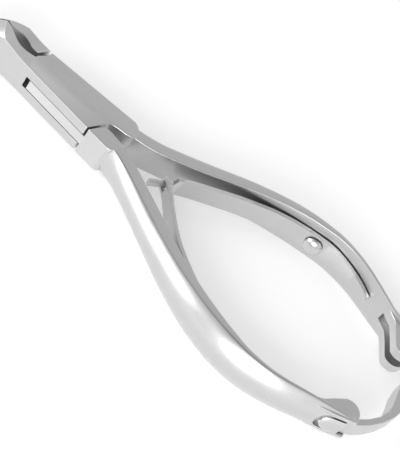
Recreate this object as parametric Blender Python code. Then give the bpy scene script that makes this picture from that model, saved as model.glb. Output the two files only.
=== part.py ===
"""Lap-joint nail and cuticle nipper with a double leaf spring and a swinging tail latch.

Outlines are in millimetres, seen from above: +X runs forward to the jaws, +Y to the left
handle, and z = 0 is the middle of the head's thickness. The pivot axis is x = y = 0. The
finished parts are in metres and lifted so that the head's flat underside lies at z = 0.
Lengths that run along a handle are given as x, and side is +1 for left and -1 for right.
"""

import math

import bmesh
import bpy
from mathutils import Matrix, Vector

MM = 0.001
LEFT = 1
RIGHT = -1
GAP = 0.3                       # running and assembly clearance between pieces

# Head: a flat tapering block that the two halves share.
HEAD_HALF_THICKNESS = 4.0
SHOULDER_X = -12.3
SHOULDER_HALF_WIDTH = 5.56
HEAD_TAPER = 0.0731             # loss of half-width for each millimetre forward
SEAM_GAP = 0.5
TONGUE_HALF_THICKNESS = 1.2
SLOT_HALF_THICKNESS = 1.5
SLOT_END_X = 10.6               # front wall on the left; the rear wall mirrors it on the right
TONGUE_END_X = 9.5
INSET = 0.03                    # keeps faces that would coincide just apart
PIN_RADIUS = 2.2
PIN_HALF_LENGTH = 3.2

# Jaws: the cutting edge slants from the raised heel down to the low tip.
JAW_START_X = 11.5
HEEL = Vector((21.4, 6.1))      # x, z
TIP = Vector((29.5, -5.0))      # x, z
EDGE_BOW = 1.1                  # how far the cutting edge bulges beyond a straight line
EDGE_LAND = 0.18                # thickness left at the cutting edge
HOLLOW_DEPTH = 1.2              # relief behind each cutting edge
JAW_FULL = 4.0                  # thickness of one jaw behind its ground face
LEFT_GRIND = (4.6, 2.2)         # length of the ground face, and how round it is
RIGHT_GRIND = (6.8, 2.05)
JAW_LEVELS = 6
JAW_STATIONS = 9

# Handles: a flat inner face, a narrow flat on the top and bottom, and a rounded outside.
HANDLE_STATIONS = 17
HANDLE_ARC = 6
HANDLE_START_X = -9.8
HANDLE_END_X = -87.4
INNER_OFFSET = [(-8, 1.5), (-12.5, 1.55), (-16, 2.3), (-20, 3.7), (-25, 6.0), (-30, 8.5), (-40, 13.8),
                (-50, 17.8), (-60, 20.1), (-65, 20.2), (-70, 19.35), (-80, 15.95), (-90, 12.6)]
OUTER_OFFSET = [(-8, 5.1), (-12.5, 5.3), (-16, 6.55), (-20, 8.5), (-30, 13.8), (-40, 18.8), (-50, 22.5),
                (-60, 24.0), (-70, 22.4), (-80, 18.4), (-90, 13.3)]
HALF_HEIGHT = [(-8, 3.93), (-14, 3.93), (-20, 3.62), (-30, 3.8), (-40, 4.5), (-50, 5.2), (-60, 5.4),
               (-70, 5.0), (-80, 4.4), (-90, 3.3)]
TOP_FLAT = [(-8, 2.6), (-20, 2.9), (-30, 3.0), (-45, 2.2), (-55, 1.6), (-65, 0.9), (-80, 0.5), (-90, 0.4)]
TAIL_HALF_HEIGHT = 3.6
TAIL_NOSE_RADIUS = 2.9
TAIL_LIFT = 1.1                 # the right handle ends this much farther back than the left
TAIL_LEAN = 1.2                 # and its nose reaches this much farther in

# Tail latch and its fork.
LATCH_PIVOT = Vector((-84.6, 13.5))
LATCH_HALF_WIDTH = 2.3
FORK_HALF_WIDTH = 2.6
FORK_START_X = -81.2            # where the slot begins in the handle's outer face
FORK_SLANT = 0.45               # the slot's front end slopes forward on its way in
OVAL_LENGTH = 3.4               # length of the slot's oval front end
THUMB_START_X = -81.9
THUMB_FULL_X = -84.4
THUMB_BULGE = 0.35
THUMB_END_X = -86.5
LATCH_PIN_RADIUS = 0.8
LATCH_PIN_HALF_LENGTH = 3.1
TAIL_SLOT_HALF_WIDTH = 1.1
OVAL_STATIONS = 6
THUMB_STATIONS = 7

# Leaf springs.
LEAF_THICKNESS = 0.9
LEAF_TAIL_X = -73.5
LEAF_ROOT_X = -50.0
LEAF_ROOT_Y = 16.9
LEAF_HALF_WIDTH = 2.8
TONGUE_HALF_WIDTH = 0.8
FORK_SLOT_HALF_WIDTH = 1.15
NOTCH_X = -26.5                  # where the left leaf forks around the right leaf's tongue
SHOULDER_END_X = -26.7           # where the right leaf has narrowed to its tongue
RIVET_X = -57.0
RIVET_SHANK_RADIUS = 1.2
RIVET_HEAD_RADIUS = 2.2
RIVET_HEAD_HEIGHT = 1.2
RIVET_DEPTH = 2.2
ROUND_SEGMENTS = 20


def head_half_width(x):
    """Half-width of the head's straight tapering sides."""
    return SHOULDER_HALF_WIDTH - HEAD_TAPER * (x - SHOULDER_X)


def smooth(table, x):
    """Read a smooth curve through (x, value) pairs that run from front to back."""
    points = [Vector(pair) for pair in table]
    slopes = []
    for i in range(len(points)):
        before = points[max(i - 1, 0)]
        after = points[min(i + 1, len(points) - 1)]
        slopes.append((after.y - before.y) / (after.x - before.x))
    i = 0
    while i < len(points) - 2 and x < points[i + 1].x:
        i += 1
    span = points[i + 1].x - points[i].x
    t = (x - points[i].x) / span
    start = points[i].y * (1 + 2 * t) * (1 - t) ** 2 + slopes[i] * span * t * (1 - t) ** 2
    end = points[i + 1].y * t * t * (3 - 2 * t) + slopes[i + 1] * span * t * t * (t - 1)
    return start + end


def make_object(name, bm):
    """Turn a mesh in millimetres into an object in metres, with its faces outward."""
    bmesh.ops.remove_doubles(bm, verts=bm.verts, dist=0.001)
    bmesh.ops.recalc_face_normals(bm, faces=bm.faces)
    bmesh.ops.transform(bm, matrix=Matrix.Scale(MM, 4), verts=bm.verts)
    mesh = bpy.data.meshes.new(name)
    bm.to_mesh(mesh)
    bm.free()
    obj = bpy.data.objects.new(name, mesh)
    bpy.context.collection.objects.link(obj)
    return obj


def combine(base, tool, operation):
    """Apply one exact Boolean to the base object, then remove the tool."""
    modifier = base.modifiers.new(operation.lower(), "BOOLEAN")
    modifier.operation = operation
    modifier.solver = "EXACT"
    modifier.object = tool
    graph = bpy.context.evaluated_depsgraph_get()
    result = bpy.data.meshes.new_from_object(base.evaluated_get(graph))
    base.modifiers.clear()
    base.data = result
    bpy.data.objects.remove(tool)


def loft(name, rings):
    """Skin a list of equal closed rings and cap both ends."""
    bm = bmesh.new()
    loops = []
    for ring in rings:
        loops.append([bm.verts.new(point) for point in ring])
    for first, second in zip(loops, loops[1:]):
        for i in range(len(first)):
            j = (i + 1) % len(first)
            bm.faces.new((first[i], first[j], second[j], second[i]))
    bm.faces.new(loops[0])
    bm.faces.new(loops[-1])
    return make_object(name, bm)


def prism(name, outline, low, high):
    """Stand an outline up between two heights."""
    rings = []
    for z in (low, high):
        rings.append([(point[0], point[1], z) for point in outline])
    return loft(name, rings)


def circle(centre, radius, segments=ROUND_SEGMENTS, start=0.0, sweep=2 * math.pi):
    """Points on an arc; a full circle leaves out the repeated last point."""
    full = abs(sweep) > 1.999 * math.pi
    count = segments if full else segments + 1
    points = []
    for i in range(count):
        angle = start + sweep * i / segments
        points.append((centre[0] + radius * math.cos(angle), centre[1] + radius * math.sin(angle)))
    return points


def cylinder(name, centre, direction, radius, low, high):
    """A round bar along any direction, between two distances from its centre point."""
    turn = Vector((0, 0, 1)).rotation_difference(Vector(direction)).to_matrix()
    rings = []
    for distance in (low, high):
        ring = [turn @ Vector((p[0], p[1], distance)) + Vector(centre) for p in circle((0, 0), radius)]
        rings.append(ring)
    return loft(name, rings)


def mirrored(outline, side):
    """An outline of the left side, or its mirror image on the right."""
    return [(point[0], side * point[1]) for point in outline]


def handle(name, side, end_x):
    """The bowed grip: flat inside, small flats above and below, and an arc outside."""
    rings = []
    for i in range(HANDLE_STATIONS):
        x = HANDLE_START_X + (end_x - HANDLE_START_X) * i / (HANDLE_STATIONS - 1)
        inner = smooth(INNER_OFFSET, x)
        depth = smooth(OUTER_OFFSET, x) - inner
        half = smooth(HALF_HEIGHT, x)
        flat = smooth(TOP_FLAT, x)
        middle = (depth ** 2 - flat ** 2 - half ** 2) / (2 * (depth - flat))
        radius = depth - middle
        reach = math.asin(half / radius)
        ring = [(x, side * inner, half), (x, side * inner, -half)]
        for k in range(HANDLE_ARC + 1):
            angle = reach * (2 * k / HANDLE_ARC - 1)
            y = inner + middle + radius * math.cos(angle)
            ring.append((x, side * y, radius * math.sin(angle)))
        rings.append(ring)
    return loft(name, rings)


def tail_bump(name, side, back, inward):
    """The rounded nose on the inside of each handle's end."""
    outline = [(-75.5, 18.6), (-78.2 - back, 15.9), (-79.8 - back, 14.8 + inward / 6),
               (-81.3 - back, 12.9)]
    centre = (-85.0 - back, 13.1 - inward)
    outline += circle(centre, TAIL_NOSE_RADIUS, 8, math.radians(305), math.radians(-120))
    outline += [(-88.1 - back, 13.9), (-84.0 - back, 15.9), (-80.0 - back, 17.4)]
    return prism(name, mirrored(outline, side), -TAIL_HALF_HEIGHT, TAIL_HALF_HEIGHT)


def edge_point(level):
    """The cutting edge in side view, from the tip at level 0 to the heel at level 1."""
    point = TIP.lerp(HEEL, level)
    along = (HEEL - TIP).normalized()
    outward = Vector((along.y, -along.x))
    return point + outward * EDGE_BOW * 4 * level * (1 - level)


def jaw_thickness(back, side):
    """Thickness of a jaw at a distance back from its cutting edge."""
    length, power = LEFT_GRIND if side == LEFT else RIGHT_GRIND
    t = min(back / length, 1.0)
    return JAW_FULL * (1 - (1 - t) ** power) + EDGE_LAND


def jaw(name, side, inner_start, outer_start):
    """One jaw: a stack of outlines, each reaching forward to the slanting cutting edge."""
    rings = []
    for i in range(JAW_LEVELS):
        level = i / (JAW_LEVELS - 1)
        edge = edge_point(level)
        z_back = HEAD_HALF_THICKNESS * (2 * level - 1)
        inner = []
        outer = []
        for k in range(JAW_STATIONS):
            s = k / (JAW_STATIONS - 1)
            flare = s ** 1.6
            z = z_back + (edge.y - z_back) * flare
            x = inner_start[0] + (edge.x - inner_start[0]) * s
            hollow = HOLLOW_DEPTH * math.sin(math.pi * min(s / 0.88, 1.0)) ** 1.3
            start_step = (inner_start[1] - GAP / 2) * max(0.0, 1 - 5 * s)
            inner.append((x, side * (GAP / 2 + hollow + start_step), z))
            x = outer_start[0] + (edge.x - outer_start[0]) * s
            width = min(jaw_thickness(edge.x - x, side) + GAP / 2, head_half_width(x) + 0.55 * flare)
            outer.append((x, side * width, z))
        rings.append(inner + list(reversed(outer)))
    bm = bmesh.new()
    loops = [[bm.verts.new(point) for point in ring] for ring in rings]
    for first, second in zip(loops, loops[1:]):
        for i in range(len(first)):
            j = (i + 1) % len(first)
            bm.faces.new((first[i], first[j], second[j], second[i]))
    for loop in (loops[0], loops[-1]):
        for i in range(JAW_STATIONS - 1):
            bm.faces.new((loop[i], loop[i + 1], loop[-2 - i], loop[-1 - i]))
    return make_object(name, bm)


def female_half():
    """Right handle, both flanges of the box joint, and the left jaw."""
    front = JAW_START_X + 0.8
    flange = [
        (-6.3, head_half_width(-6.3)), (front, head_half_width(front)), (front, GAP / 2), (12.2, -0.4),
        (11.2, -1.9), (10.75, -3.2), (10.7, -head_half_width(10.7)), (SHOULDER_X, -SHOULDER_HALF_WIDTH),
        (-13.1, -5.2), (-14.2, -4.3), (-14.8, -3.2), (-14.6, -2.0), (-13.6, -1.3), (-12.5, -0.95),
        (-10.6, -0.71), (-9.3, -0.37), (-8.7, 0.1), (-8.25, 0.8), (-7.35, 2.9),
    ]
    body = prism("female_half", flange, -HEAD_HALF_THICKNESS, HEAD_HALF_THICKNESS)
    jaw_root = (JAW_START_X, GAP / 2)
    jaw_back = (JAW_START_X, head_half_width(JAW_START_X))
    combine(body, jaw("left_jaw", LEFT, jaw_root, jaw_back), "UNION")
    combine(body, handle("right_grip", RIGHT, HANDLE_END_X - TAIL_LIFT), "UNION")
    combine(body, tail_bump("right_tail", RIGHT, TAIL_LIFT, TAIL_LEAN), "UNION")
    reach = 8.0
    slot = [
        (SLOT_END_X, reach), (SLOT_END_X, 1.0), (11.3, GAP / 2), (14.0, GAP / 2), (14.0, -reach),
        (-SLOT_END_X, -reach), (-SLOT_END_X, reach),
    ]
    combine(body, prism("slot", slot, -SLOT_HALF_THICKNESS, SLOT_HALF_THICKNESS), "DIFFERENCE")
    depth = PIN_HALF_LENGTH + GAP
    combine(body, cylinder("pin_hole", (0, 0, 0), (0, 0, 1), PIN_RADIUS + GAP, -depth, depth), "DIFFERENCE")
    groove = mirrored([(-78.2, 10.0), (-95.0, 6.0), (-95.0, 11.2), (-86.0, 14.4), (-78.2, 17.8)], RIGHT)
    cutter = prism("tail_slot", groove, -TAIL_SLOT_HALF_WIDTH, TAIL_SLOT_HALF_WIDTH)
    combine(body, cutter, "DIFFERENCE")
    combine(body, rivet_hole(RIGHT), "DIFFERENCE")
    return body


def male_half():
    """Left handle, the rear block, the tongue through the slot, and the right jaw."""
    block = [
        (-6.3 - SEAM_GAP, head_half_width(-6.3 - SEAM_GAP)), (-7.35 - SEAM_GAP, 2.9), (-8.8, 1.25),
        (-10.8, 1.3), (-12.9, 1.65), (-13.9, 2.0), (-14.3, 2.9), (-14.0, 4.1), (-13.1, 5.2),
        (SHOULDER_X, SHOULDER_HALF_WIDTH),
    ]
    body = prism("male_half", block, -HEAD_HALF_THICKNESS, HEAD_HALF_THICKNESS)
    tongue = [
        (-9.0, head_half_width(-9.0) - INSET), (TONGUE_END_X, head_half_width(TONGUE_END_X) - INSET),
        (9.6, 0.5), (10.8, -0.6), (13.2, -1.3), (13.2, -3.2), (11.4, -3.5),
        (11.2, INSET - head_half_width(11.2)),
        (-TONGUE_END_X, INSET - head_half_width(-TONGUE_END_X)), (-TONGUE_END_X, 1.6),
    ]
    plate = prism("tongue", tongue, -TONGUE_HALF_THICKNESS, TONGUE_HALF_THICKNESS)
    combine(body, plate, "UNION")
    jaw_root = (12.6, 0.9)
    jaw_back = (11.2, head_half_width(11.2))
    combine(body, jaw("right_jaw", RIGHT, jaw_root, jaw_back), "UNION")
    combine(body, handle("left_grip", LEFT, HANDLE_END_X), "UNION")
    combine(body, tail_bump("left_tail", LEFT, 0.0, 0.0), "UNION")
    hole = cylinder("pin_hole", (0, 0, 0), (0, 0, 1), PIN_RADIUS + GAP, -3.0, 3.0)
    combine(body, hole, "DIFFERENCE")
    combine(body, fork_cutter(), "DIFFERENCE")
    depth = LATCH_PIN_HALF_LENGTH + GAP
    centre = (LATCH_PIVOT.x, LATCH_PIVOT.y, 0)
    bore = cylinder("latch_hole", centre, (0, 0, 1), LATCH_PIN_RADIUS + GAP, -depth, depth)
    combine(body, bore, "DIFFERENCE")
    combine(body, rivet_hole(LEFT), "DIFFERENCE")
    return body


def rivet_axis(side):
    """Where a rivet crosses its handle's inner face, and the direction into the finger gap."""
    step = 0.5
    rise = smooth(INNER_OFFSET, RIVET_X + step) - smooth(INNER_OFFSET, RIVET_X - step)
    along = Vector((2 * step, side * rise, 0)).normalized()
    inward = Vector((along.y, -along.x, 0)) * side
    return Vector((RIVET_X, side * smooth(INNER_OFFSET, RIVET_X), 0)), inward


def rivet_hole(side):
    """A blind clearance hole for a rivet's shank."""
    point, inward = rivet_axis(side)
    return cylinder("rivet_hole", point, inward, RIVET_SHANK_RADIUS + GAP, -RIVET_DEPTH - GAP, 4.0)


def rivet(name, side):
    """A domed rivet: the head bears on the leaf and the shank is pressed into the handle."""
    point, inward = rivet_axis(side)
    seat = LEAF_THICKNESS + 2 * GAP
    turn = Vector((0, 0, 1)).rotation_difference(inward).to_matrix()
    profile = [(RIVET_SHANK_RADIUS, -RIVET_DEPTH), (RIVET_SHANK_RADIUS, seat), (RIVET_HEAD_RADIUS, seat)]
    dome = 4
    for k in range(1, dome):
        angle = math.pi / 2 * k / dome
        height = seat + RIVET_HEAD_HEIGHT * math.sin(angle)
        profile.append((RIVET_HEAD_RADIUS * math.cos(angle), height))
    profile.append((0.3, seat + RIVET_HEAD_HEIGHT))
    rings = []
    for radius, height in profile:
        rings.append([turn @ Vector((p[0], p[1], height)) + point for p in circle((0, 0), radius, 14)])
    return loft(name, rings)


def leaf_route(side):
    """Centre line of a leaf from its tail end to its tip, as x and y."""
    offset = GAP + LEAF_THICKNESS / 2
    seat = []
    for x in (LEAF_TAIL_X, -70.0, -66.0, -62.0, RIVET_X, -53.5):
        seat.append((x, smooth(INNER_OFFSET, x) - offset * 1.05))
    if side == RIGHT:
        free = [(LEAF_ROOT_X, LEAF_ROOT_Y), (-46.0, 15.3), (-41.0, 12.6), (-38.0, 10.8), (-34.5, 8.5),
                (-30.0, 5.5), (-27.0, 3.1), (-26.45, 2.55), (-25.0, 1.2), (-23.9, 0.1), (-22.8, -1.1)]
    else:
        free = [(LEAF_ROOT_X, LEAF_ROOT_Y), (-46.0, 15.1), (-42.0, 12.85), (-38.0, 10.3), (-34.6, 7.5),
                (-31.7, 4.6), (-29.3, 2.0), (-27.6, 0.1), (-26.3, -1.1), (-25.5, -1.75), (-24.9, -2.2)]
    return mirrored(seat, side), mirrored(free, side)


def leaf_half_width(side, x):
    """Half-width of a leaf: a rounded tail, a broad middle and a slim end."""
    if x < -60.0:
        return 0.5 + (LEAF_HALF_WIDTH - 0.5) * ((x - LEAF_TAIL_X) / (-60.0 - LEAF_TAIL_X)) ** 0.7
    if side == RIGHT and x > SHOULDER_END_X:
        return TONGUE_HALF_WIDTH
    narrowing = 0.35 if side == RIGHT else 0.95
    return LEAF_HALF_WIDTH - narrowing * max(0.0, (x + 50.0) / 24.0)


def ribbon(name, route, half_widths):
    """A flat strip standing on edge along a route."""
    rings = []
    for i, point in enumerate(route):
        before = Vector(route[max(i - 1, 0)])
        after = Vector(route[min(i + 1, len(route) - 1)])
        along = (after - before).normalized()
        across = Vector((-along.y, along.x)) * LEAF_THICKNESS / 2
        half = half_widths[i]
        one = Vector(point) + across
        two = Vector(point) - across
        rings.append([(one.x, one.y, half), (one.x, one.y, -half), (two.x, two.y, -half),
                      (two.x, two.y, half)])
    return loft(name, rings)


def leaf_seat(name, side):
    """The part of a leaf that lies on its handle, with the rivet hole."""
    seat, free = leaf_route(side)
    last = Vector(seat[-1]).lerp(Vector(free[0]), 0.85)
    route = seat + [tuple(last)]
    strip = ribbon(name, route, [leaf_half_width(side, point[0]) for point in route])
    point, inward = rivet_axis(side)
    hole = cylinder("leaf_hole", point, inward, RIVET_SHANK_RADIUS + GAP, -1.0, 4.0)
    combine(strip, hole, "DIFFERENCE")
    return strip


def leaf_blade(name, side):
    """The free part of a leaf, which bends about its root."""
    seat, free = leaf_route(side)
    strip = ribbon(name, free, [leaf_half_width(side, point[0]) for point in free])
    if side == LEFT:
        notch = [(NOTCH_X, 6.0), (-20.0, 6.0), (-20.0, -6.0), (NOTCH_X, -6.0)]
        cutter = prism("notch", notch, -FORK_SLOT_HALF_WIDTH, FORK_SLOT_HALF_WIDTH)
        combine(strip, cutter, "DIFFERENCE")
    return strip


def oval_half(t, power, half):
    """Half-height of an oval end: full at t = 0 and nearly closed at its front, t = 1."""
    return max(half * math.sqrt(max(0.0, 1 - t ** power)), 0.25)


def fork_cutter():
    """The slot through the left handle's end and its nose, as a solid to cut with."""
    rings = []
    inside = 5.0
    outside = 22.0
    face = smooth(OUTER_OFFSET, FORK_START_X)
    for k in range(OVAL_STATIONS + 1):
        half = oval_half(1 - k / OVAL_STATIONS, 3.0, FORK_HALF_WIDTH)
        x = FORK_START_X - OVAL_LENGTH * k / OVAL_STATIONS
        inner_x = x + FORK_SLANT * (face - inside)
        outer_x = x + FORK_SLANT * (face - outside)
        rings.append([(inner_x, inside, -half), (outer_x, outside, -half), (outer_x, outside, half),
                      (inner_x, inside, half)])
    back = [(-96.0, y, z) for _, y, z in rings[-1]]
    return loft("fork", rings + [back])


def latch():
    """A thumb bump that fills the fork, then a bent strip with a hook at its end."""
    spine = [(-86.0, 13.5, 1.6), (-88.3, 12.2, 1.6), (-90.1, 10.1, 1.5), (-91.8, 7.2, 1.5),
             (-92.8, 4.2, 1.7), (-92.8, 1.0, 2.7), (-92.5, -2.0, 3.6), (-92.3, -5.0, 3.6),
             (-92.3, -8.0, 3.0), (-92.4, -11.0, 2.2), (-92.2, -13.4, 1.8), (-91.3, -15.2, 1.5)]
    rings = []
    for i, (x, y, thickness) in enumerate(spine):
        before = Vector(spine[max(i - 1, 0)][:2])
        after = Vector(spine[min(i + 1, len(spine) - 1)][:2])
        along = (after - before).normalized()
        across = Vector((-along.y, along.x)) * thickness / 2
        one = Vector((x, y)) + across
        two = Vector((x, y)) - across
        rings.append([(one.x, one.y, LATCH_HALF_WIDTH), (one.x, one.y, -LATCH_HALF_WIDTH),
                      (two.x, two.y, -LATCH_HALF_WIDTH), (two.x, two.y, LATCH_HALF_WIDTH)])
    strip = loft("latch", rings)
    inner_side = [(-81.5, 16.8), (-82.4, 15.0), (-83.3, 12.5), (-84.6, 11.6), (-85.8, 11.7), (-87.0, 12.0),
                  (-88.6, 11.6)]
    rings = []
    for k in range(THUMB_STATIONS + 1):
        x = THUMB_START_X + (THUMB_END_X - THUMB_START_X) * k / THUMB_STATIONS
        t = max(0.0, (x - THUMB_FULL_X) / (THUMB_START_X - THUMB_FULL_X))
        half = oval_half(t, 2.0, LATCH_HALF_WIDTH)
        top = smooth(OUTER_OFFSET, x) + THUMB_BULGE * (1 - t * t)
        ring = [(x, smooth(inner_side, x), half), (x, smooth(inner_side, x), -half)]
        for z in (-1.0, -0.6, 0.0, 0.6, 1.0):
            ring.append((x, top - 0.6 * z * z, z * half))
        rings.append(ring)
    combine(strip, loft("thumb", rings), "UNION")
    centre = (LATCH_PIVOT.x, LATCH_PIVOT.y, 0)
    hole = cylinder("hole", centre, (0, 0, 1), LATCH_PIN_RADIUS + GAP, -4.0, 4.0)
    combine(strip, hole, "DIFFERENCE")
    return strip


def steel(name, shade, roughness):
    """A metallic material of one grey shade."""
    material = bpy.data.materials.new(name)
    material.use_nodes = True
    shader = material.node_tree.nodes["Principled BSDF"]
    shader.inputs["Base Color"].default_value = (shade, shade, shade * 0.99, 1.0)
    shader.inputs["Metallic"].default_value = 1.0
    shader.inputs["Roughness"].default_value = roughness
    return material


def place(obj, material, pivot=(0.0, 0.0)):
    """Give an object its material and move its origin to its joint axis."""
    obj.data.materials.clear()
    obj.data.materials.append(material)
    origin = Vector((pivot[0] * MM, pivot[1] * MM, 0.0))
    obj.data.transform(Matrix.Translation(-origin))
    obj.location = origin + Vector((0.0, 0.0, HEAD_HALF_THICKNESS * MM))
    obj.data.shade_smooth()
    obj.data.set_sharp_from_angle(angle=math.radians(30))


def build():
    """Make every piece and put it in place."""
    for obj in list(bpy.data.objects):
        bpy.data.objects.remove(obj, do_unlink=True)
    satin = steel("satin_steel", 0.72, 0.32)
    spring = steel("spring_steel", 0.62, 0.28)
    pin = steel("pin_steel", 0.66, 0.25)
    place(female_half(), satin)
    place(male_half(), satin)
    head_pin = cylinder("pivot_pin", (0, 0, 0), (0, 0, 1), PIN_RADIUS, -PIN_HALF_LENGTH, PIN_HALF_LENGTH)
    place(head_pin, pin)
    for word, side in (("right", RIGHT), ("left", LEFT)):
        root = leaf_route(side)[1][0]
        place(leaf_seat(word + "_leaf_seat", side), spring)
        place(leaf_blade(word + "_leaf_blade", side), spring, root)
        place(rivet(word + "_spring_rivet", side), pin)
    place(latch(), satin, LATCH_PIVOT)
    centre = (LATCH_PIVOT.x, LATCH_PIVOT.y, 0)
    half = LATCH_PIN_HALF_LENGTH
    place(cylinder("latch_pin", centre, (0, 0, 1), LATCH_PIN_RADIUS, -half, half), pin, LATCH_PIVOT)


build()
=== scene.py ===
"""Looks for the cuticle nipper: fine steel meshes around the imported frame, studio and camera.

The outlines are those of the CAD model, in millimetres with z = 0 at the middle of the head,
built with more stations and with rounded edges. Everything is lifted by half the head's
thickness, as in the CAD model, so each piece lies where its node does.
"""

import math

import bmesh
import bpy
from mathutils import Matrix, Vector


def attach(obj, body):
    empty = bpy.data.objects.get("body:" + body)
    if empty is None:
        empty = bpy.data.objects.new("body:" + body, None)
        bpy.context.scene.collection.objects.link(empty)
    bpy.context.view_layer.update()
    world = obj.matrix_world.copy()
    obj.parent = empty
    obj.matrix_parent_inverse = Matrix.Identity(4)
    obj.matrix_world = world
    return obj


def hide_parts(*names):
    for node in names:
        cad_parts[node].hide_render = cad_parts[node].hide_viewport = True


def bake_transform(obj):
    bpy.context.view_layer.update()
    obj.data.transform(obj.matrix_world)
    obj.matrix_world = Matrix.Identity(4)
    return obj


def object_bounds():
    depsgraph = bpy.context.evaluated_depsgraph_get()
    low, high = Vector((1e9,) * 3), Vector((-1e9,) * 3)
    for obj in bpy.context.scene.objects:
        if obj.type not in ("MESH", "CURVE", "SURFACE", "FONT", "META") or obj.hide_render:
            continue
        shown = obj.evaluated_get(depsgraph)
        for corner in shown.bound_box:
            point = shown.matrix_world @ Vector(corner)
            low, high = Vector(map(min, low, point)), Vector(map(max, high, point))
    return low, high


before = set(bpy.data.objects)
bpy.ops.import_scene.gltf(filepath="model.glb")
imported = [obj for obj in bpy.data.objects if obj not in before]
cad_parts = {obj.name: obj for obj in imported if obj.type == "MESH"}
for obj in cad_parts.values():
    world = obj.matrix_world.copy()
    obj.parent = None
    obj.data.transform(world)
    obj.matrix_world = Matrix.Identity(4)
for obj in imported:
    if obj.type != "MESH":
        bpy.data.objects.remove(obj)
cad_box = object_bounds()

MM = 0.001
LEFT = 1
RIGHT = -1
GAP = 0.3                       # running and assembly clearance between pieces

# Head: a flat tapering block that the two halves share.
HEAD_HALF_THICKNESS = 4.0
SHOULDER_X = -12.3
SHOULDER_HALF_WIDTH = 5.56
HEAD_TAPER = 0.0731             # loss of half-width for each millimetre forward
SEAM_GAP = 0.5
TONGUE_HALF_THICKNESS = 1.33
SLOT_HALF_THICKNESS = 1.5
SLOT_END_X = 10.6               # front wall on the left; the rear wall mirrors it on the right
TONGUE_END_X = 9.5
INSET = 0.03                    # keeps faces that would coincide just apart
PIN_RADIUS = 2.2
PIN_HALF_LENGTH = 3.2

# Jaws: the cutting edge slants from the raised heel down to the low tip.
JAW_START_X = 11.5
HEEL = Vector((21.4, 6.1))      # x, z
TIP = Vector((29.5, -5.0))      # x, z
EDGE_BOW = 1.1                  # how far the cutting edge bulges beyond a straight line
EDGE_LAND = 0.18                # thickness left at the cutting edge
HOLLOW_DEPTH = 1.2              # relief behind each cutting edge
JAW_FULL = 4.0                  # thickness of one jaw behind its ground face
LEFT_GRIND = (4.6, 2.2)         # length of the ground face, and how round it is
RIGHT_GRIND = (6.8, 2.05)
JAW_LEVELS = 15
JAW_STATIONS = 25

# Handles: a flat inner face, a narrow flat on the top and bottom, and a rounded outside.
HANDLE_STATIONS = 61
HANDLE_ARC = 18
HANDLE_START_X = -9.8
HANDLE_END_X = -87.4
INNER_OFFSET = [(-8, 1.5), (-12.5, 1.55), (-16, 2.3), (-20, 3.7), (-25, 6.0), (-30, 8.5), (-40, 13.8),
                (-50, 17.8), (-60, 20.1), (-65, 20.2), (-70, 19.35), (-80, 15.95), (-90, 12.6)]
OUTER_OFFSET = [(-8, 5.1), (-12.5, 5.3), (-16, 6.55), (-20, 8.5), (-30, 13.8), (-40, 18.8), (-50, 22.5),
                (-60, 24.0), (-70, 22.4), (-80, 18.4), (-90, 13.3)]
HALF_HEIGHT = [(-8, 3.93), (-14, 3.93), (-20, 3.62), (-30, 3.8), (-40, 4.5), (-50, 5.2), (-60, 5.4),
               (-70, 5.0), (-80, 4.4), (-90, 3.3)]
TOP_FLAT = [(-8, 2.6), (-20, 2.9), (-30, 3.0), (-45, 2.2), (-55, 1.6), (-65, 0.9), (-80, 0.5), (-90, 0.4)]
TAIL_HALF_HEIGHT = 3.6
TAIL_NOSE_RADIUS = 2.9
TAIL_LIFT = 1.1                 # the right handle ends this much farther back than the left
TAIL_LEAN = 1.2                 # and its nose reaches this much farther in

# Tail latch and its fork.
LATCH_PIVOT = Vector((-84.6, 13.5))
LATCH_HALF_WIDTH = 2.3
FORK_HALF_WIDTH = 2.6
FORK_START_X = -81.2            # where the slot begins in the handle's outer face
FORK_SLANT = 0.45               # the slot's front end slopes forward on its way in
OVAL_LENGTH = 3.4               # length of the slot's oval front end
THUMB_START_X = -81.9
THUMB_FULL_X = -84.4
THUMB_BULGE = 0.35
THUMB_END_X = -86.5
LATCH_PIN_RADIUS = 0.8
LATCH_PIN_HALF_LENGTH = 3.1
TAIL_SLOT_HALF_WIDTH = 1.1
OVAL_STATIONS = 14
THUMB_STATIONS = 22

# Leaf springs.
LEAF_THICKNESS = 0.9
LEAF_TAIL_X = -73.5
LEAF_ROOT_X = -50.0
LEAF_ROOT_Y = 16.9
LEAF_HALF_WIDTH = 2.8
TONGUE_HALF_WIDTH = 0.8
FORK_SLOT_HALF_WIDTH = 1.15
NOTCH_X = -26.5                  # where the left leaf forks around the right leaf's tongue
SHOULDER_END_X = -26.7           # where the right leaf has narrowed to its tongue
RIVET_X = -57.0
RIVET_SHANK_RADIUS = 1.2
RIVET_HEAD_RADIUS = 2.2
RIVET_HEAD_HEIGHT = 1.2
RIVET_DEPTH = 2.2
ROUND_SEGMENTS = 48
SHOULDER_LENGTH = 0.7
FINE_GAP = 0.04                 # the rivets fill their holes as closely as this

# Rounding of the edges.
EDGE_ROUND = 0.25
GRIP_ROUND = 0.35
LEAF_ROUND = 0.12
EDGE_ROUND_SEGMENTS = 3
SHARP_ANGLE = math.radians(32)


def head_half_width(x):
    """Half-width of the head's straight tapering sides."""
    return SHOULDER_HALF_WIDTH - HEAD_TAPER * (x - SHOULDER_X)


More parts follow.
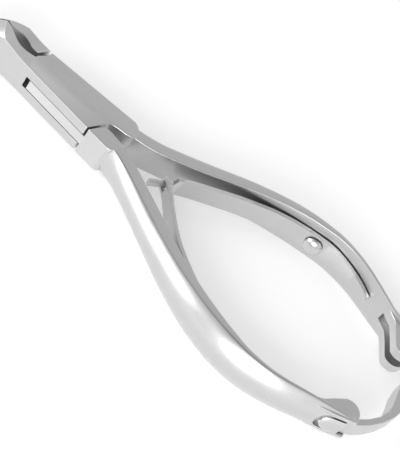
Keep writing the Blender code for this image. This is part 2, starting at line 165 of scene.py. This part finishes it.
def smooth(table, x):
    """Read a smooth curve through (x, value) pairs that run from front to back."""
    points = [Vector(pair) for pair in table]
    slopes = []
    for i in range(len(points)):
        before = points[max(i - 1, 0)]
        after = points[min(i + 1, len(points) - 1)]
        slopes.append((after.y - before.y) / (after.x - before.x))
    i = 0
    while i < len(points) - 2 and x < points[i + 1].x:
        i += 1
    span = points[i + 1].x - points[i].x
    t = (x - points[i].x) / span
    start = points[i].y * (1 + 2 * t) * (1 - t) ** 2 + slopes[i] * span * t * (1 - t) ** 2
    end = points[i + 1].y * t * t * (3 - 2 * t) + slopes[i + 1] * span * t * t * (t - 1)
    return start + end


def make_object(name, bm):
    """Turn a mesh in millimetres into an object in metres, with its faces outward."""
    bmesh.ops.remove_doubles(bm, verts=bm.verts, dist=0.001)
    bmesh.ops.recalc_face_normals(bm, faces=bm.faces)
    bmesh.ops.transform(bm, matrix=Matrix.Scale(MM, 4), verts=bm.verts)
    mesh = bpy.data.meshes.new(name)
    bm.to_mesh(mesh)
    bm.free()
    obj = bpy.data.objects.new(name, mesh)
    bpy.context.collection.objects.link(obj)
    return obj


def combine(base, tool, operation):
    """Apply one Boolean to the base object, then remove the tool.

    The exact solver leaves open edges on these rounded solids, so the manifold solver is used.
    """
    modifier = base.modifiers.new(operation.lower(), "BOOLEAN")
    modifier.operation = operation
    modifier.solver = "MANIFOLD"
    modifier.object = tool
    graph = bpy.context.evaluated_depsgraph_get()
    result = bpy.data.meshes.new_from_object(base.evaluated_get(graph))
    base.modifiers.clear()
    base.data = result
    bpy.data.objects.remove(tool)


def rounded(obj, radius):
    """Round the sharp edges of a plain solid before it is combined with others."""
    bevel = obj.modifiers.new("rounded_edges", "BEVEL")
    bevel.limit_method = "ANGLE"
    bevel.angle_limit = SHARP_ANGLE
    bevel.width = radius * MM
    bevel.segments = EDGE_ROUND_SEGMENTS
    return obj


def loft(name, rings):
    """Skin a list of equal closed rings and cap both ends."""
    bm = bmesh.new()
    loops = []
    for ring in rings:
        loops.append([bm.verts.new(point) for point in ring])
    for first, second in zip(loops, loops[1:]):
        for i in range(len(first)):
            j = (i + 1) % len(first)
            bm.faces.new((first[i], first[j], second[j], second[i]))
    bm.faces.new(loops[0])
    bm.faces.new(loops[-1])
    return make_object(name, bm)


def prism(name, outline, low, high):
    """Stand an outline up between two heights."""
    rings = []
    for z in (low, high):
        rings.append([(point[0], point[1], z) for point in outline])
    return loft(name, rings)


def circle(centre, radius, segments=ROUND_SEGMENTS, start=0.0, sweep=2 * math.pi):
    """Points on an arc; a full circle leaves out the repeated last point."""
    full = abs(sweep) > 1.999 * math.pi
    count = segments if full else segments + 1
    points = []
    for i in range(count):
        angle = start + sweep * i / segments
        points.append((centre[0] + radius * math.cos(angle), centre[1] + radius * math.sin(angle)))
    return points


def cylinder(name, centre, direction, radius, low, high):
    """A round bar along any direction, between two distances from its centre point."""
    turn = Vector((0, 0, 1)).rotation_difference(Vector(direction)).to_matrix()
    rings = []
    for distance in (low, high):
        ring = [turn @ Vector((p[0], p[1], distance)) + Vector(centre) for p in circle((0, 0), radius)]
        rings.append(ring)
    return loft(name, rings)


def mirrored(outline, side):
    """An outline of the left side, or its mirror image on the right."""
    return [(point[0], side * point[1]) for point in outline]


def handle(name, side, end_x):
    """The bowed grip: flat inside, small flats above and below, and an arc outside."""
    rings = []
    for i in range(HANDLE_STATIONS):
        x = HANDLE_START_X + (end_x - HANDLE_START_X) * i / (HANDLE_STATIONS - 1)
        inner = smooth(INNER_OFFSET, x)
        depth = smooth(OUTER_OFFSET, x) - inner
        half = smooth(HALF_HEIGHT, x)
        flat = smooth(TOP_FLAT, x)
        middle = (depth ** 2 - flat ** 2 - half ** 2) / (2 * (depth - flat))
        radius = depth - middle
        reach = math.asin(half / radius)
        ring = [(x, side * inner, half), (x, side * inner, -half)]
        for k in range(HANDLE_ARC + 1):
            angle = reach * (2 * k / HANDLE_ARC - 1)
            y = inner + middle + radius * math.cos(angle)
            ring.append((x, side * y, radius * math.sin(angle)))
        rings.append(ring)
    return loft(name, rings)


def tail_bump(name, side, back, inward):
    """The rounded nose on the inside of each handle's end."""
    outline = [(-75.5, 18.6), (-78.2 - back, 15.9), (-79.8 - back, 14.8 + inward / 6),
               (-81.3 - back, 12.9)]
    centre = (-85.0 - back, 13.1 - inward)
    outline += circle(centre, TAIL_NOSE_RADIUS, 8, math.radians(305), math.radians(-120))
    outline += [(-88.1 - back, 13.9), (-84.0 - back, 15.9), (-80.0 - back, 17.4)]
    return prism(name, mirrored(outline, side), -TAIL_HALF_HEIGHT, TAIL_HALF_HEIGHT)


def edge_point(level):
    """The cutting edge in side view, from the tip at level 0 to the heel at level 1."""
    point = TIP.lerp(HEEL, level)
    along = (HEEL - TIP).normalized()
    outward = Vector((along.y, -along.x))
    return point + outward * EDGE_BOW * 4 * level * (1 - level)


def jaw_thickness(back, side):
    """Thickness of a jaw at a distance back from its cutting edge."""
    length, power = LEFT_GRIND if side == LEFT else RIGHT_GRIND
    t = min(back / length, 1.0)
    return JAW_FULL * (1 - (1 - t) ** power) + EDGE_LAND


def jaw(name, side, inner_start, outer_start):
    """One jaw: a stack of outlines, each reaching forward to the slanting cutting edge."""
    rings = []
    for i in range(JAW_LEVELS):
        level = i / (JAW_LEVELS - 1)
        edge = edge_point(level)
        z_back = HEAD_HALF_THICKNESS * (2 * level - 1)
        inner = []
        outer = []
        for k in range(JAW_STATIONS):
            s = k / (JAW_STATIONS - 1)
            flare = s ** 1.6
            z = z_back + (edge.y - z_back) * flare
            x = inner_start[0] + (edge.x - inner_start[0]) * s
            hollow = HOLLOW_DEPTH * math.sin(math.pi * min(s / 0.88, 1.0)) ** 1.3
            start_step = (inner_start[1] - GAP / 2) * max(0.0, 1 - 5 * s)
            inner.append((x, side * (GAP / 2 + hollow + start_step), z))
            x = outer_start[0] + (edge.x - outer_start[0]) * s
            width = min(jaw_thickness(edge.x - x, side) + GAP / 2, head_half_width(x) + 0.55 * flare)
            outer.append((x, side * width, z))
        rings.append(inner + list(reversed(outer)))
    bm = bmesh.new()
    loops = [[bm.verts.new(point) for point in ring] for ring in rings]
    for first, second in zip(loops, loops[1:]):
        for i in range(len(first)):
            j = (i + 1) % len(first)
            bm.faces.new((first[i], first[j], second[j], second[i]))
    for loop in (loops[0], loops[-1]):
        for i in range(JAW_STATIONS - 1):
            bm.faces.new((loop[i], loop[i + 1], loop[-2 - i], loop[-1 - i]))
    return make_object(name, bm)


def female_half():
    """Right handle, both flanges of the box joint, and the left jaw."""
    front = JAW_START_X + 0.8
    flange = [
        (-6.3, head_half_width(-6.3)), (front, head_half_width(front)), (front, GAP / 2), (12.2, -0.4),
        (11.2, -1.9), (10.75, -3.2), (10.7, -head_half_width(10.7)), (SHOULDER_X, -SHOULDER_HALF_WIDTH),
        (-13.1, -5.2), (-14.2, -4.3), (-14.8, -3.2), (-14.6, -2.0), (-13.6, -1.3), (-12.5, -0.95),
        (-10.6, -0.71), (-9.3, -0.37), (-8.7, 0.1), (-8.25, 0.8), (-7.35, 2.9),
    ]
    body = rounded(prism("female_half", flange, -HEAD_HALF_THICKNESS, HEAD_HALF_THICKNESS), EDGE_ROUND)
    jaw_root = (JAW_START_X, GAP / 2)
    jaw_back = (JAW_START_X, head_half_width(JAW_START_X))
    combine(body, jaw("left_jaw", LEFT, jaw_root, jaw_back), "UNION")
    combine(body, rounded(handle("right_grip", RIGHT, HANDLE_END_X - TAIL_LIFT), GRIP_ROUND), "UNION")
    combine(body, rounded(tail_bump("right_tail", RIGHT, TAIL_LIFT, TAIL_LEAN), EDGE_ROUND), "UNION")
    reach = 8.0
    slot = [
        (SLOT_END_X, reach), (SLOT_END_X, 1.0), (11.3, GAP / 2), (14.0, GAP / 2), (14.0, -reach),
        (-SLOT_END_X, -reach), (-SLOT_END_X, reach),
    ]
    combine(body, prism("slot", slot, -SLOT_HALF_THICKNESS, SLOT_HALF_THICKNESS), "DIFFERENCE")
    depth = PIN_HALF_LENGTH + GAP
    combine(body, cylinder("pin_hole", (0, 0, 0), (0, 0, 1), PIN_RADIUS + GAP, -depth, depth), "DIFFERENCE")
    groove = mirrored([(-78.2, 10.0), (-95.0, 6.0), (-95.0, 11.2), (-86.0, 14.4), (-78.2, 17.8)], RIGHT)
    cutter = prism("tail_slot", groove, -TAIL_SLOT_HALF_WIDTH, TAIL_SLOT_HALF_WIDTH)
    combine(body, cutter, "DIFFERENCE")
    combine(body, rivet_hole(RIGHT), "DIFFERENCE")
    return body


def male_half():
    """Left handle, the rear block, the tongue through the slot, and the right jaw."""
    block = [
        (-6.3 - SEAM_GAP, head_half_width(-6.3 - SEAM_GAP)), (-7.35 - SEAM_GAP, 2.9), (-8.8, 1.25),
        (-10.8, 1.3), (-12.9, 1.65), (-13.9, 2.0), (-14.3, 2.9), (-14.0, 4.1), (-13.1, 5.2),
        (SHOULDER_X, SHOULDER_HALF_WIDTH),
    ]
    body = rounded(prism("male_half", block, -HEAD_HALF_THICKNESS, HEAD_HALF_THICKNESS), EDGE_ROUND)
    tongue = [
        (-9.0, head_half_width(-9.0) - INSET), (TONGUE_END_X, head_half_width(TONGUE_END_X) - INSET),
        (9.6, 0.5), (10.8, -0.6), (13.2, -1.3), (13.2, -3.2), (11.4, -3.5),
        (11.2, INSET - head_half_width(11.2)),
        (-TONGUE_END_X, INSET - head_half_width(-TONGUE_END_X)), (-TONGUE_END_X, 1.6),
    ]
    plate = prism("tongue", tongue, -TONGUE_HALF_THICKNESS, TONGUE_HALF_THICKNESS)
    combine(body, plate, "UNION")
    jaw_root = (12.6, 0.9)
    jaw_back = (11.2, head_half_width(11.2))
    combine(body, jaw("right_jaw", RIGHT, jaw_root, jaw_back), "UNION")
    combine(body, rounded(handle("left_grip", LEFT, HANDLE_END_X), GRIP_ROUND), "UNION")
    combine(body, rounded(tail_bump("left_tail", LEFT, 0.0, 0.0), EDGE_ROUND), "UNION")
    hole = cylinder("pin_hole", (0, 0, 0), (0, 0, 1), PIN_RADIUS + GAP, -3.0, 3.0)
    combine(body, hole, "DIFFERENCE")
    combine(body, fork_cutter(), "DIFFERENCE")
    depth = LATCH_PIN_HALF_LENGTH + GAP
    centre = (LATCH_PIVOT.x, LATCH_PIVOT.y, 0)
    bore = cylinder("latch_hole", centre, (0, 0, 1), LATCH_PIN_RADIUS + GAP, -depth, depth)
    combine(body, bore, "DIFFERENCE")
    combine(body, rivet_hole(LEFT), "DIFFERENCE")
    return body


def rivet_axis(side):
    """Where a rivet crosses its handle's inner face, and the direction into the finger gap."""
    step = 0.5
    rise = smooth(INNER_OFFSET, RIVET_X + step) - smooth(INNER_OFFSET, RIVET_X - step)
    along = Vector((2 * step, side * rise, 0)).normalized()
    inward = Vector((along.y, -along.x, 0)) * side
    return Vector((RIVET_X, side * smooth(INNER_OFFSET, RIVET_X), 0)), inward


def rivet_hole(side):
    """A blind clearance hole for a rivet's shank."""
    point, inward = rivet_axis(side)
    return cylinder("rivet_hole", point, inward, RIVET_SHANK_RADIUS + FINE_GAP, -RIVET_DEPTH - GAP, 4.0)


def rivet(name, side):
    """A domed rivet: the head bears on the leaf and the shank is pressed into the handle."""
    point, inward = rivet_axis(side)
    seat = LEAF_THICKNESS + 2 * GAP
    turn = Vector((0, 0, 1)).rotation_difference(inward).to_matrix()
    profile = [(RIVET_SHANK_RADIUS, -RIVET_DEPTH), (RIVET_SHANK_RADIUS, seat), (RIVET_HEAD_RADIUS, seat)]
    dome = 4
    for k in range(1, dome):
        angle = math.pi / 2 * k / dome
        height = seat + RIVET_HEAD_HEIGHT * math.sin(angle)
        profile.append((RIVET_HEAD_RADIUS * math.cos(angle), height))
    profile.append((0.3, seat + RIVET_HEAD_HEIGHT))
    rings = []
    for radius, height in profile:
        rings.append([turn @ Vector((p[0], p[1], height)) + point for p in circle((0, 0), radius, 14)])
    return loft(name, rings)


def leaf_route(side):
    """Centre line of a leaf from its tail end to its tip, as x and y."""
    offset = GAP + LEAF_THICKNESS / 2
    seat = []
    for x in (LEAF_TAIL_X, -70.0, -66.0, -62.0, RIVET_X, -53.5):
        seat.append((x, smooth(INNER_OFFSET, x) - offset * 1.05))
    if side == RIGHT:
        free = [(LEAF_ROOT_X, LEAF_ROOT_Y), (-46.0, 15.3), (-41.0, 12.6), (-38.0, 10.8), (-34.5, 8.5),
                (-30.0, 5.5), (-27.0, 3.1), (-26.45, 2.55), (-25.0, 1.2), (-23.9, 0.1), (-22.8, -1.1)]
    else:
        free = [(LEAF_ROOT_X, LEAF_ROOT_Y), (-46.0, 15.1), (-42.0, 12.85), (-38.0, 10.3), (-34.6, 7.5),
                (-31.7, 4.6), (-29.3, 2.0), (-27.6, 0.1), (-26.3, -1.1), (-25.5, -1.75), (-24.9, -2.2)]
    return mirrored(seat, side), mirrored(free, side)


def ribbon(name, route, half_widths):
    """A flat strip standing on edge along a route."""
    rings = []
    for i, point in enumerate(route):
        before = Vector(route[max(i - 1, 0)])
        after = Vector(route[min(i + 1, len(route) - 1)])
        along = (after - before).normalized()
        across = Vector((-along.y, along.x)) * LEAF_THICKNESS / 2
        half = half_widths[i]
        one = Vector(point) + across
        two = Vector(point) - across
        rings.append([(one.x, one.y, half), (one.x, one.y, -half), (two.x, two.y, -half),
                      (two.x, two.y, half)])
    return loft(name, rings)


def oval_half(t, power, half):
    """Half-height of an oval end: full at t = 0 and nearly closed at its front, t = 1."""
    return max(half * math.sqrt(max(0.0, 1 - t ** power)), 0.25)


def fork_cutter():
    """The slot through the left handle's end and its nose, as a solid to cut with."""
    rings = []
    inside = 5.0
    outside = 22.0
    face = smooth(OUTER_OFFSET, FORK_START_X)
    for k in range(OVAL_STATIONS + 1):
        half = oval_half(1 - k / OVAL_STATIONS, 3.0, FORK_HALF_WIDTH)
        x = FORK_START_X - OVAL_LENGTH * k / OVAL_STATIONS
        inner_x = x + FORK_SLANT * (face - inside)
        outer_x = x + FORK_SLANT * (face - outside)
        rings.append([(inner_x, inside, -half), (outer_x, outside, -half), (outer_x, outside, half),
                      (inner_x, inside, half)])
    back = [(-96.0, y, z) for _, y, z in rings[-1]]
    return loft("fork", rings + [back])


def latch():
    """A thumb bump that fills the fork, then a bent strip with a hook at its end."""
    spine = [(-86.0, 13.5, 1.6), (-88.3, 12.2, 1.6), (-90.1, 10.1, 1.5), (-91.8, 7.2, 1.5),
             (-92.8, 4.2, 1.7), (-92.8, 1.0, 2.7), (-92.5, -2.0, 3.6), (-92.3, -5.0, 3.6),
             (-92.3, -8.0, 3.0), (-92.4, -11.0, 2.2), (-92.2, -13.4, 1.8), (-91.3, -15.2, 1.5)]
    rings = []
    for i, (x, y, thickness) in enumerate(spine):
        before = Vector(spine[max(i - 1, 0)][:2])
        after = Vector(spine[min(i + 1, len(spine) - 1)][:2])
        along = (after - before).normalized()
        across = Vector((-along.y, along.x)) * thickness / 2
        one = Vector((x, y)) + across
        two = Vector((x, y)) - across
        rings.append([(one.x, one.y, LATCH_HALF_WIDTH), (one.x, one.y, -LATCH_HALF_WIDTH),
                      (two.x, two.y, -LATCH_HALF_WIDTH), (two.x, two.y, LATCH_HALF_WIDTH)])
    strip = rounded(loft("latch", rings), EDGE_ROUND)
    inner_side = [(-81.5, 16.8), (-82.4, 15.0), (-83.3, 12.5), (-84.6, 11.6), (-85.8, 11.7), (-87.0, 12.0),
                  (-88.6, 11.6)]
    rings = []
    for k in range(THUMB_STATIONS + 1):
        x = THUMB_START_X + (THUMB_END_X - THUMB_START_X) * k / THUMB_STATIONS
        t = max(0.0, (x - THUMB_FULL_X) / (THUMB_START_X - THUMB_FULL_X))
        half = oval_half(t, 2.0, LATCH_HALF_WIDTH)
        top = smooth(OUTER_OFFSET, x) + THUMB_BULGE * (1 - t * t)
        ring = [(x, smooth(inner_side, x), half), (x, smooth(inner_side, x), -half)]
        for z in (-1.0, -0.6, 0.0, 0.6, 1.0):
            ring.append((x, top - 0.6 * z * z, z * half))
        rings.append(ring)
    combine(strip, loft("thumb", rings), "UNION")
    centre = (LATCH_PIVOT.x, LATCH_PIVOT.y, 0)
    hole = cylinder("hole", centre, (0, 0, 1), LATCH_PIN_RADIUS + GAP, -4.0, 4.0)
    combine(strip, hole, "DIFFERENCE")
    return strip


# Camera and studio, in metres and degrees.
CAMERA_PLACE = (-0.0557, 0.2387, 0.2615)
CAMERA_TURN = (35.53, -25.69, -144.36)
CAMERA_LENS = 131.87
SENSOR = 36.0
FLOOR_SIZE = 6.0
FLOOR_GLOW = 0.28               # keeps the ground near white under low, soft lamps


def finish_mesh(obj):
    """Lift the piece into the row frame and shade its flats flat and its rounds smooth."""
    obj.data.transform(Matrix.Translation((0, 0, HEAD_HALF_THICKNESS * MM)))
    obj.data.shade_smooth()
    obj.data.set_sharp_from_angle(angle=SHARP_ANGLE)
    normals = obj.modifiers.new("flat_shading_of_flats", "WEIGHTED_NORMAL")
    normals.keep_sharp = True
    return obj


def node(tree, kind, **sockets):
    """Add a shader node and set the inputs that are named."""
    made = tree.nodes.new(kind)
    for name, value in sockets.items():
        made.inputs[name.replace("_", " ")].default_value = value
    return made


def steel(name, shade, roughness, grain, blotch):
    """Satin steel: stretched grain, faint cloudiness, fine scratches and a painted highlight along convex
    edges.
    """
    material = bpy.data.materials.new(name)
    material.use_nodes = True
    tree = material.node_tree
    link = tree.links.new
    shader = tree.nodes["Principled BSDF"]
    shader.inputs["Metallic"].default_value = 1.0
    place = tree.nodes.new("ShaderNodeTexCoord")
    stretch = tree.nodes.new("ShaderNodeMapping")
    stretch.inputs["Scale"].default_value = grain
    link(place.outputs["Object"], stretch.inputs["Vector"])
    brush = node(tree, "ShaderNodeTexNoise", Scale=1.0, Detail=6.0, Roughness=0.65)
    link(stretch.outputs["Vector"], brush.inputs["Vector"])
    cloud = node(tree, "ShaderNodeTexNoise", Scale=140.0, Detail=3.0, Roughness=0.5)
    link(place.outputs["Object"], cloud.inputs["Vector"])
    scratch_map = tree.nodes.new("ShaderNodeMapping")
    scratch_map.inputs["Scale"].default_value = (260.0, 2400.0, 2400.0)
    scratch_map.inputs["Rotation"].default_value = (0.0, 0.0, 0.35)
    link(place.outputs["Object"], scratch_map.inputs["Vector"])
    scratch = node(tree, "ShaderNodeTexNoise", Scale=1.0, Detail=2.0, Roughness=0.4)
    link(scratch_map.outputs["Vector"], scratch.inputs["Vector"])
    geometry = tree.nodes.new("ShaderNodeNewGeometry")
    # Painted highlight: convex edges, found by pointiness, get a lighter base colour than the grain tone.
    edge_highlight_mask = tree.nodes.new("ShaderNodeMapRange")
    edge_highlight_mask.inputs["From Min"].default_value = 0.53
    edge_highlight_mask.inputs["From Max"].default_value = 0.62
    link(geometry.outputs["Pointiness"], edge_highlight_mask.inputs["Value"])
    tone = tree.nodes.new("ShaderNodeMapRange")
    tone.inputs["From Min"].default_value = 0.3
    tone.inputs["From Max"].default_value = 0.7
    tone.inputs["To Min"].default_value = shade - 0.03
    tone.inputs["To Max"].default_value = shade + 0.03
    link(brush.outputs["Fac"], tone.inputs["Value"])
    edge_highlight_mix = tree.nodes.new("ShaderNodeMix")
    edge_highlight_mix.data_type = "FLOAT"
    link(edge_highlight_mask.outputs["Result"], edge_highlight_mix.inputs["Factor"])
    link(tone.outputs["Result"], edge_highlight_mix.inputs["A"])
    # Base colour of the painted edge highlight.
    edge_highlight_mix.inputs["B"].default_value = min(shade + 0.14, 0.95)
    colour = tree.nodes.new("ShaderNodeCombineColor")
    for channel in ("Red", "Green", "Blue"):
        link(edge_highlight_mix.outputs["Result"], colour.inputs[channel])
    link(colour.outputs["Color"], shader.inputs["Base Color"])
    rough = tree.nodes.new("ShaderNodeMapRange")
    rough.inputs["From Min"].default_value = 0.3
    rough.inputs["From Max"].default_value = 0.7
    rough.inputs["To Min"].default_value = roughness - blotch
    rough.inputs["To Max"].default_value = roughness + blotch
    link(cloud.outputs["Fac"], rough.inputs["Value"])
    link(rough.outputs["Result"], shader.inputs["Roughness"])
    height = tree.nodes.new("ShaderNodeMath")
    height.operation = "ADD"
    link(brush.outputs["Fac"], height.inputs[0])
    link(scratch.outputs["Fac"], height.inputs[1])
    bump = node(tree, "ShaderNodeBump", Strength=0.10, Distance=0.00002)
    link(height.outputs["Value"], bump.inputs["Height"])
    link(bump.outputs["Normal"], shader.inputs["Normal"])
    return material


def dress(obj, material, slot, *nodes):
    """Give a piece its material and hide the CAD nodes that it stands for; the slot argument is not used.
    """
    obj.data.materials.clear()
    obj.data.materials.append(material)
    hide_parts(*nodes)


def leaf(name, side):
    """A whole leaf spring in one strip, from its seat on the handle to its tip."""
    seat, free = leaf_route(side)
    coarse = seat + free
    route = []
    halves = []
    pieces = 6
    for i in range(len(coarse) - 1):
        before = Vector(coarse[max(i - 1, 0)])
        first = Vector(coarse[i])
        second = Vector(coarse[i + 1])
        after = Vector(coarse[min(i + 2, len(coarse) - 1)])
        for k in range(pieces):
            t = k / pieces
            point = 0.5 * (2 * first + (second - before) * t
                           + (2 * before - 5 * first + 4 * second - after) * t * t
                           + (3 * first - 3 * second + after - before) * t ** 3)
            route.append((point.x, point.y))
    route.append(coarse[-1])
    for point in route:
        halves.append(fine_half_width(side, Vector(point)))
    strip = rounded(ribbon(name, route, halves), LEAF_ROUND)
    point, inward = rivet_axis(side)
    hole = cylinder("leaf_hole", point, inward, RIVET_SHANK_RADIUS + FINE_GAP, -1.0, 4.0)
    combine(strip, hole, "DIFFERENCE")
    if side == LEFT:
        notch = [(NOTCH_X, 6.0), (-20.0, 6.0), (-20.0, -6.0), (NOTCH_X, -6.0)]
        cutter = prism("notch", notch, -FORK_SLOT_HALF_WIDTH, FORK_SLOT_HALF_WIDTH)
        combine(strip, cutter, "DIFFERENCE")
    return strip


def fine_half_width(side, point):
    """Half-width along a leaf, with a rounded tail and a rounded shoulder to the tongue."""
    x = point.x
    if x < -60.0:
        t = max(0.0, (x - LEAF_TAIL_X) / (-60.0 - LEAF_TAIL_X))
        return 0.5 + (LEAF_HALF_WIDTH - 0.5) * t ** 0.7
    narrowing = 0.35 if side == RIGHT else 0.95
    broad = LEAF_HALF_WIDTH - narrowing * max(0.0, (x + 50.0) / 24.0)
    shoulder = SHOULDER_END_X - SHOULDER_LENGTH
    if side == RIGHT and x > shoulder:
        t = min((x - shoulder) / SHOULDER_LENGTH, 1.0)
        return broad + (TONGUE_HALF_WIDTH - broad) * t * t * (3 - 2 * t)
    return broad


def build_pieces():
    """Make the fine pieces and dress them; the halves, rivets and latch ride on their bodies, the leaves
    are not attached.
    """
    satin = steel("satin_steel", 0.60, 0.31, (300.0, 5000.0, 5000.0), 0.035)
    spring = steel("spring_steel", 0.60, 0.30, (400.0, 400.0, 6000.0), 0.03)
    pins = steel("pin_steel", 0.64, 0.28, (2500.0, 2500.0, 2500.0), 0.03)
    right = finish_mesh(female_half())
    dress(right, satin, "satin_steel", "female_half")
    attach(right, "right_side")
    left = finish_mesh(male_half())
    dress(left, satin, "satin_steel", "male_half")
    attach(left, "left_side")
    for word, side in (("right", RIGHT), ("left", LEFT)):
        strip = finish_mesh(leaf(word + "_leaf_spring", side))
        dress(strip, spring, "spring_steel", word + "_leaf_seat", word + "_leaf_blade")
        reach = 6.0
        for x in (LEAF_ROOT_X - reach, LEAF_ROOT_X + reach):
            side * smooth(INNER_OFFSET, x) * MM
        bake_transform(strip)
        head = finish_mesh(rivet(word + "_rivet", side))
        dress(head, pins, "pin_steel", word + "_spring_rivet")
        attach(head, word + "_side")
    lock = finish_mesh(latch())
    dress(lock, satin, "satin_steel", "latch")
    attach(lock, "latch")
    for name in ("pivot_pin", "latch_pin"):
        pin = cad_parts[name]
        for slot in pin.material_slots:
            slot.material = pins


def studio():
    """A plain pale floor, soft light from above and beside, and the camera."""
    lowest = cad_box[0].z
    bpy.ops.mesh.primitive_plane_add(size=FLOOR_SIZE, location=(0, 0, lowest))
    floor = bpy.context.object
    floor.name = "floor"
    paint = bpy.data.materials.new("floor_paint")
    paint.use_nodes = True
    shader = paint.node_tree.nodes["Principled BSDF"]
    shader.inputs["Base Color"].default_value = (0.92, 0.92, 0.92, 1)
    shader.inputs["Roughness"].default_value = 0.9
    shader.inputs["Emission Color"].default_value = (1.0, 1.0, 1.0, 1)
    shader.inputs["Emission Strength"].default_value = FLOOR_GLOW
    floor.data.materials.append(paint)

    world = bpy.data.worlds.new("studio")
    bpy.context.scene.world = world
    world.use_nodes = True
    tree = world.node_tree
    coordinates = tree.nodes.new("ShaderNodeTexCoord")
    split = tree.nodes.new("ShaderNodeSeparateXYZ")
    tree.links.new(coordinates.outputs["Generated"], split.inputs["Vector"])
    ramp = tree.nodes.new("ShaderNodeValToRGB")
    stops = [(0.0, 1.0), (0.55, 0.95), (0.80, 0.72), (0.93, 0.42), (1.0, 0.25)]
    while len(ramp.color_ramp.elements) < len(stops):
        ramp.color_ramp.elements.new(0.5)
    for element, (position, level) in zip(ramp.color_ramp.elements, stops):
        element.position = position
        element.color = (level, level, level, 1)
    tree.links.new(split.outputs["Z"], ramp.inputs["Fac"])
    tree.links.new(ramp.outputs["Color"], tree.nodes["Background"].inputs["Color"])
    tree.nodes["Background"].inputs["Strength"].default_value = 0.85

    for name, place, size, power in (
        ("key_softbox", (-0.25, 0.90, 0.34), 0.6, 5.0),
        ("front_softbox", (0.72, 0.52, 0.28), 0.5, 3.5),
    ):
        lamp = bpy.data.lights.new(name, "AREA")
        lamp.size = size
        lamp.energy = power
        obj = bpy.data.objects.new(name, lamp)
        bpy.context.collection.objects.link(obj)
        obj.location = place
        toward = Vector((-0.03, 0, 0)) - Vector(place)
        obj.rotation_euler = toward.to_track_quat("-Z", "Y").to_euler()

    lens = bpy.data.cameras.new("camera")
    lens.sensor_width = SENSOR
    lens.lens = CAMERA_LENS
    lens.clip_start = 0.01
    camera = bpy.data.objects.new("camera", lens)
    bpy.context.collection.objects.link(camera)
    camera.location = CAMERA_PLACE
    camera.rotation_euler = [math.radians(angle) for angle in CAMERA_TURN]
    bpy.context.scene.camera = camera
    bpy.context.scene.view_settings.view_transform = "Standard"


build_pieces()
studio()
